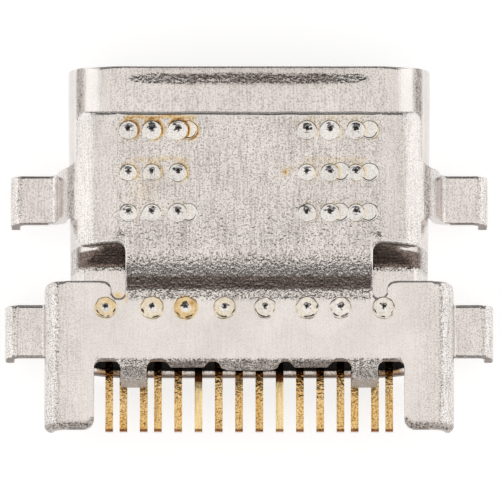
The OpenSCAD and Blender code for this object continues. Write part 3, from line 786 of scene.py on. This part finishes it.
def paint(ob, grain):
    """Tint, grain and painted shade at every vertex, and a matt mark on the two turned-down tabs."""
    me = ob.data
    points = [tuple(v.co) for v in me.vertices]
    marks = [grain(*p, v.normal) for p, v in zip(points, me.vertices)]
    on_tab = [float(TAB_FROM < abs(x) < TAB_TO and y < TAB_FACE and z < 0.95) for x, y, z in points]
    for name, values in (("browning", [browning(*p) for p in points]), ("grain", [g for g, _ in marks]),
                         ("painted_shade", [max(0.0, dark) for _, dark in marks]), ("matt", on_tab)):
        me.attributes.new(name, "FLOAT", "POINT").data.foreach_set("value", values)


# ---------------------------------------------------------------- material nodes
def link(nt, a, b):
    nt.links.new(a, b)


def feed(nt, socket, value):
    """Set a socket to a number or colour, or link it to another socket."""
    if isinstance(value, float):
        socket.default_value = value
    elif isinstance(value, tuple):
        socket.default_value = (*value, 1)
    else:
        link(nt, value, socket)


def grey(v):
    return (v, v, v)


def ramp(nt, src, stops):
    r = nt.nodes.new("ShaderNodeValToRGB")
    elements = r.color_ramp.elements
    while len(elements) < len(stops):
        elements.new(0.5)
    for element, (position, colour) in zip(elements, stops):
        element.position = position
        element.color = (*colour, 1)
    link(nt, src, r.inputs[0])
    return r.outputs[0]


def tex_noise(nt, scale, detail, rough, stretch=(1, 1, 1)):
    """Noise in object space; scale is features per metre."""
    place = nt.nodes.new("ShaderNodeTexCoord")
    mapping = nt.nodes.new("ShaderNodeMapping")
    mapping.inputs["Scale"].default_value = [s * scale for s in stretch]
    link(nt, place.outputs["Object"], mapping.inputs["Vector"])
    t = nt.nodes.new("ShaderNodeTexNoise")
    t.inputs["Scale"].default_value = 1.0
    t.inputs["Detail"].default_value = detail
    t.inputs["Roughness"].default_value = rough
    link(nt, mapping.outputs[0], t.inputs["Vector"])
    return t.outputs[0]


def along_y(nt, stops):
    """A ramp over the distance behind the rim, in centimetres."""
    place = nt.nodes.new("ShaderNodeTexCoord")
    xyz = nt.nodes.new("ShaderNodeSeparateXYZ")
    link(nt, place.outputs["Object"], xyz.inputs[0])
    return ramp(nt, times(nt, xyz.outputs[1], -100.0), stops)


def tinted(nt, amount, colour, by):
    """Colour multiplied by another as far as amount says."""
    m = nt.nodes.new("ShaderNodeMix")
    m.data_type, m.blend_type = "RGBA", "MULTIPLY"
    feed(nt, m.inputs[0], amount)
    feed(nt, m.inputs[6], colour)
    feed(nt, m.inputs[7], by)
    return m.outputs[2]


def bump(nt, height, distance, normal=None):
    b = nt.nodes.new("ShaderNodeBump")
    link(nt, height, b.inputs["Height"])
    feed(nt, b.inputs["Distance"], distance)
    if normal is not None:
        link(nt, normal, b.inputs["Normal"])
    return b.outputs[0]


def attribute(nt, name):
    at = nt.nodes.new("ShaderNodeAttribute")
    at.attribute_name = name
    return at.outputs["Fac"]


def maths(nt, operation, a, b):
    m = nt.nodes.new("ShaderNodeMath")
    m.operation = operation
    feed(nt, m.inputs[0], a)
    feed(nt, m.inputs[1], b)
    return m.outputs[0]


def times(nt, a, b):
    return maths(nt, "MULTIPLY", a, b)


def plus(nt, a, b):
    return maths(nt, "ADD", a, b)


def new_material(name):
    m = bpy.data.materials.new(name)
    m.use_nodes = True
    return m, m.node_tree, m.node_tree.nodes["Principled BSDF"]


# ---------------------------------------------------------------- materials
# a tint that leaves a colour as it is
BARE = (1, 1, 1)
# temper colours of the steel, by how far it is burnt
TEMPER = [(0.0, BARE), (0.25, (1.0, 0.90, 0.70)), (0.45, (0.96, 0.73, 0.40)), (0.70, (0.56, 0.28, 0.09)),
          (0.95, (0.17, 0.07, 0.03))]
# tint of the contacts' cut ends
CUT_END = (0.34, 0.19, 0.11)


def heat_tint_and_painted_shade(nt, colour, deep):
    """Colour with the temper tint of the painted browning, darkened by the painted shade that the vertices
    carry.
    """
    uneven = ramp(nt, tex_noise(nt, 9000, 3.0, 0.6), [(0.35, grey(0.72)), (0.65, grey(1.0))])
    burn = times(nt, attribute(nt, "browning"), uneven)
    colour = tinted(nt, 1.0, colour, ramp(nt, burn, TEMPER))
    across = tex_noise(nt, 1000, 3.0, 0.65, (1.2, 22, 22))
    # painted shade: a dark colour, streaked along X
    shade = ramp(nt, across, [(0.40, deep), (0.62, tuple(2.4 * c for c in deep))])
    return tinted(nt, attribute(nt, "painted_shade"), colour, shade)


def metal(name, light, dark, rough=(0.13, 0.20), grain=3.4e-5, lines=3.0e-6, painted=True,
          specks=(0.30, 0.285, 0.27), ends=None, deep=(0.19, 0.155, 0.14)):
    """Plated sheet: sandy grain, brush lines along Y, cloudy tone; grain and lines are heights in metres. A
    painted sheet takes its vertices' heat tint and painted shade, deep being the colour of that shade.
    """
    m, nt, p = new_material(name)
    p.inputs["Metallic"].default_value = 1.0
    sand = tex_noise(nt, 25000, 2.0, 0.6)
    pebble = tex_noise(nt, 13500, 1.0, 0.5)
    cloud = tex_noise(nt, 900, 3.0, 0.55)
    brush = tex_noise(nt, 1000, 3.0, 0.65, (26, 1.6, 26))
    coarse = attribute(nt, "grain") if painted else 0.8
    colour = ramp(nt, cloud, [(0.35, dark), (0.62, light)])
    colour = tinted(nt, coarse, colour, ramp(nt, sand, [(0.37, specks), (0.51, BARE)]))
    colour = tinted(nt, coarse, colour, ramp(nt, brush, [(0.36, (0.62, 0.605, 0.59)), (0.52, BARE)]))
    # the vertices' heat tint and painted shade
    if painted:
        colour = heat_tint_and_painted_shade(nt, colour, deep)
    # for the contacts: painted shade where they leave the base block, and the tint of their cut ends
    if ends:
        colour = tinted(nt, 1.0, colour, along_y(nt, ends))
    link(nt, colour, p.inputs["Base Color"])
    roughness = ramp(nt, cloud, [(0.3, grey(rough[0])), (0.7, grey(rough[1]))])
    height = grain
    if painted:
        roughness = plus(nt, roughness, times(nt, attribute(nt, "painted_shade"), 0.30))
        roughness = plus(nt, roughness, times(nt, attribute(nt, "matt"), 0.32))
        height = times(nt, times(nt, coarse, coarse), times(nt, coarse, grain))
    link(nt, roughness, p.inputs["Roughness"])
    link(nt, bump(nt, brush, lines, bump(nt, pebble, height)), p.inputs["Normal"])
    return m


def plastic(name, a, b):
    """Black moulded plastic, with painted shade that makes the rear end of the base block blacker."""
    m, nt, p = new_material(name)
    fine = tex_noise(nt, 18000, 3.0, 0.6)
    colour = ramp(nt, fine, [(0.35, a), (0.68, b)])
    # painted shade: the rear end of the base block is made blacker
    colour = tinted(nt, 1.0, colour, along_y(nt, [(0.52, BARE), (0.66, (0.07, 0.06, 0.055))]))
    link(nt, colour, p.inputs["Base Color"])
    link(nt, ramp(nt, fine, [(0.3, grey(0.42)), (0.7, grey(0.58))]), p.inputs["Roughness"])
    link(nt, bump(nt, fine, 3.0e-6), p.inputs["Normal"])
    p.inputs["Specular IOR Level"].default_value = 0.003
    return m


cover_mat = metal("cover_steel", (0.90, 0.85, 0.82), (0.80, 0.755, 0.725))
# the weld spots' painted shade is near black
weld_mat = metal("weld_steel", (0.95, 0.925, 0.90), (0.85, 0.82, 0.79), rough=(0.09, 0.16), grain=3.0e-5,
                 lines=0.5e-6, deep=(0.045, 0.04, 0.04))
shell_mat = metal("shell_steel", (0.90, 0.85, 0.82), (0.81, 0.765, 0.735), rough=(0.11, 0.17))
inner_mat = metal("inner_steel", (0.86, 0.82, 0.79), (0.74, 0.70, 0.67), grain=1.0e-5, painted=False)
# the contacts carry painted shade where they leave the base block, and are dark at their cut ends
gold_mat = metal("contact_gold", (1.0, 0.74, 0.36), (0.84, 0.54, 0.19), rough=(0.14, 0.22), grain=1.6e-5,
                 lines=2.0e-6, painted=False, specks=(0.42, 0.23, 0.09),
                 ends=[(0.732, (0.045, 0.03, 0.02)), (0.742, (0.40, 0.22, 0.10)), (0.755, BARE),
                       (0.8770, BARE), (0.8775, CUT_END)])
smooth_gold_mat = metal("smooth_contact_gold", (1.0, 0.79, 0.44), (0.96, 0.73, 0.36), rough=(0.16, 0.20),
                        grain=0.2e-5, lines=1.0e-6, painted=False, specks=(0.86, 0.80, 0.72),
                        ends=[(0.732, (0.045, 0.03, 0.02)), (0.742, (0.22, 0.10, 0.05)),
                              (0.758, (0.30, 0.13, 0.06)), (0.760, BARE), (0.8770, BARE), (0.8775, CUT_END)])
black_mat = plastic("insulator", (0.020, 0.0195, 0.019), (0.055, 0.053, 0.052))


# ---------------------------------------------------------------- putting the pieces in place
def finish_piece(ob, grain, mat, slot, *replaced):
    """Paint a piece made in millimetres, turn it into metres, and give it its material and its body."""
    paint(ob, grain)
    me = ob.data
    me.transform(Matrix.Scale(0.001, 4))
    me.update()
    me.materials.clear()
    me.materials.append(mat)
    for p in me.polygons:
        p.use_smooth = True
        p.material_index = 0
    if replaced:
        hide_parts(*replaced)
    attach(ob, "root")


def tail_x(ob):
    """Middle of a contact's tail across the width, in millimetres."""
    points = [ob.matrix_world @ v.co for v in ob.data.vertices]
    tail = [p.x for p in points if p.y < -0.0085]
    return 1000 * sum(tail) / max(1, len(tail))


# two tails are smoother than the rest
SMOOTH_TAILS = (-1.25, 0.75)


def material_of(name, ob):
    if name.startswith("contact"):
        smooth_tail = min(abs(tail_x(ob) - x) for x in SMOOTH_TAILS) < 0.1
        return smooth_gold_mat if smooth_tail else gold_mat
    return black_mat if name.endswith("insulator") else inner_mat


finish_piece(build_cover(), cover_grain_and_shade, cover_mat, "cover_steel", "outer_cover")
finish_piece(build_shell(), shell_grain_and_shade, shell_mat, "shell_steel", "inner_shell")
finish_piece(build_welds(), spots_grain_and_shade, weld_mat, "cover_steel")
for name, ob in nodes.items():
    if name not in ("outer_cover", "inner_shell"):
        for s in ob.material_slots:
            s.material = material_of(name, ob)

# ---------------------------------------------------------------- floor, light and camera, in metres
FLOOR_HALF = 1.5
FLOOR_GAP = 0.00002
FLOOR_GLOW = 0.70
WORLD_LIGHT = 0.06
# name, centre, size, radiance, colour, whether it faces straight down
LAMPS = (("top_light", (0, -0.14, 0.50), (1.9, 0.72), 0.895, (1.0, 0.975, 0.945), True),
         ("rear_light", (0, -0.55, 0.31), (1.2, 0.22), 0.32, (1, 1, 1), False),
         ("front_light", (0, 0.55, 0.33), (1.2, 0.22), 0.50, (1, 1, 1), False),
         ("left_light", (-0.55, -0.02, 0.13), (0.8, 0.30), 1.12, (1, 1, 1), False),
         ("right_light", (0.55, -0.02, 0.13), (0.8, 0.30), 1.12, (1, 1, 1), False))
LAMP_AIM = Vector((0, -0.0045, 0))
CAMERA_AIM = Vector((0.00002, -0.004571, 0.00125))
CAMERA_TILT = math.radians(11)
LENS, SENSOR, FRAME_WIDTH = 1000, 36, 0.012297


def build_floor():
    """A plain floor just under the object, white to the camera and in mirrors but not as a lamp."""
    w, z = FLOOR_HALF, cad_box[0][2] - FLOOR_GAP
    floor = new_object("floor", [(-w, -w, z), (w, -w, z), (w, w, z), (-w, w, z)], [(0, 1, 2, 3)])
    m, nt, p = new_material("floor")
    p.inputs["Base Color"].default_value = (0.55, 0.55, 0.55, 1)
    p.inputs["Roughness"].default_value = 0.9
    p.inputs["Specular IOR Level"].default_value = 0.0
    p.inputs["Emission Color"].default_value = (1, 1, 1, 1)
    path = nt.nodes.new("ShaderNodeLightPath").outputs
    seen = plus(nt, plus(nt, path["Is Camera Ray"], path["Is Glossy Ray"]), path["Is Transmission Ray"])
    link(nt, times(nt, seen, FLOOR_GLOW), p.inputs["Emission Strength"])
    floor.data.materials.append(m)


def build_world():
    world = bpy.data.worlds.new("studio")
    world.use_nodes = True
    background = world.node_tree.nodes["Background"]
    background.inputs[0].default_value = (0.95, 0.97, 1.0, 1)
    background.inputs[1].default_value = WORLD_LIGHT
    bpy.context.scene.world = world


def softbox(name, centre, size, radiance, colour, flat):
    """A rectangular lamp facing the object or straight down; radiance 1 shows as white in a mirror."""
    lamp = bpy.data.lights.new(name, "AREA")
    lamp.shape = "RECTANGLE"
    lamp.size, lamp.size_y = size
    lamp.energy = radiance * math.pi * size[0] * size[1]
    lamp.color = colour
    ob = bpy.data.objects.new(name, lamp)
    bpy.context.scene.collection.objects.link(ob)
    ob.location = centre
    if not flat:
        ob.rotation_euler = (LAMP_AIM - Vector(centre)).to_track_quat("-Z", "Y").to_euler()
    ob.visible_camera = False


def build_camera():
    """A long lens from above, tilted towards the tails."""
    cam = bpy.data.cameras.new("camera")
    cam.lens, cam.sensor_width = LENS, SENSOR
    cam.clip_start, cam.clip_end = 0.001, 10
    camera = bpy.data.objects.new("camera", cam)
    bpy.context.scene.collection.objects.link(camera)
    away = Vector((0, -math.sin(CAMERA_TILT), math.cos(CAMERA_TILT)))
    camera.location = CAMERA_AIM + away * (FRAME_WIDTH * LENS / SENSOR)
    camera.rotation_euler = away.to_track_quat("Z", "Y").to_euler()
    bpy.context.scene.camera = camera


build_floor()
build_world()
for lamp in LAMPS:
    softbox(*lamp)
build_camera()
bpy.context.scene.view_settings.view_transform = "Standard"
